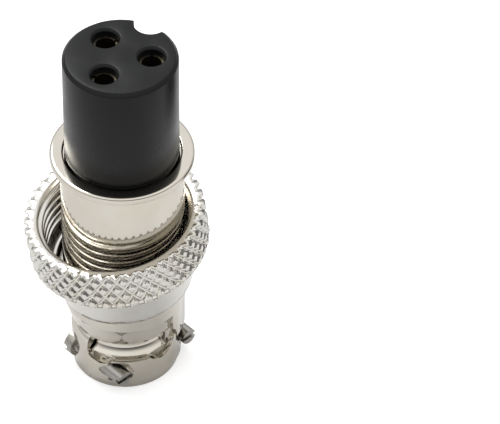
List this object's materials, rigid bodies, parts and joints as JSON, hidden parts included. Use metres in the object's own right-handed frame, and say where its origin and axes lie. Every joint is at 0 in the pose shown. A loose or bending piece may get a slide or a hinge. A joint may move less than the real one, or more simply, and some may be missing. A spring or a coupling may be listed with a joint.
{
  "type": "aviation plug connector",
  "caption": "Round cable plug with a black contact insert, a bright barrel, a loose knurled coupling nut and a screwed cable clamp.",
  "frame": {"origin": "centre of the cable hole at the rear face of the clamp", "axes": "+Z along the plug's axis towards the contact face; +X and +Y across it"},
  "size_m": [0.0191, 0.019, 0.0416],
  "materials": {
    "nickel": "polished nickel plate",
    "nut": "bright nickel plate",
    "insert": "satin moulded plastic",
    "contacts": "bright plated brass",
    "screws": "dull plated steel"
  },
  "bodies": {
    "plug": {"front_sleeve": "nickel", "insert": "insert", "contact_1": "contacts", "contact_2": "contacts", "contact_3": "contacts", "shell": "nickel"},
    "nut": {"coupling_nut": "nut"},
    "saddle": {"clamp_saddle": "nickel", "clamp_screw_a": "screws", "clamp_screw_b": "screws"}
  },
  "joints": [
    {"name": "nut_spin", "type": "hinge", "parent": "plug", "child": "nut", "pos_m": [0, 0, 0.01286], "axis": [-0.123, -0.0574, 0.9907], "continuous": true},
    {"name": "clamp_open", "type": "slide", "parent": "plug", "child": "saddle", "axis": [-0.66, 0.7513, 0], "range_m": [0, 0.0015]}
  ]
}
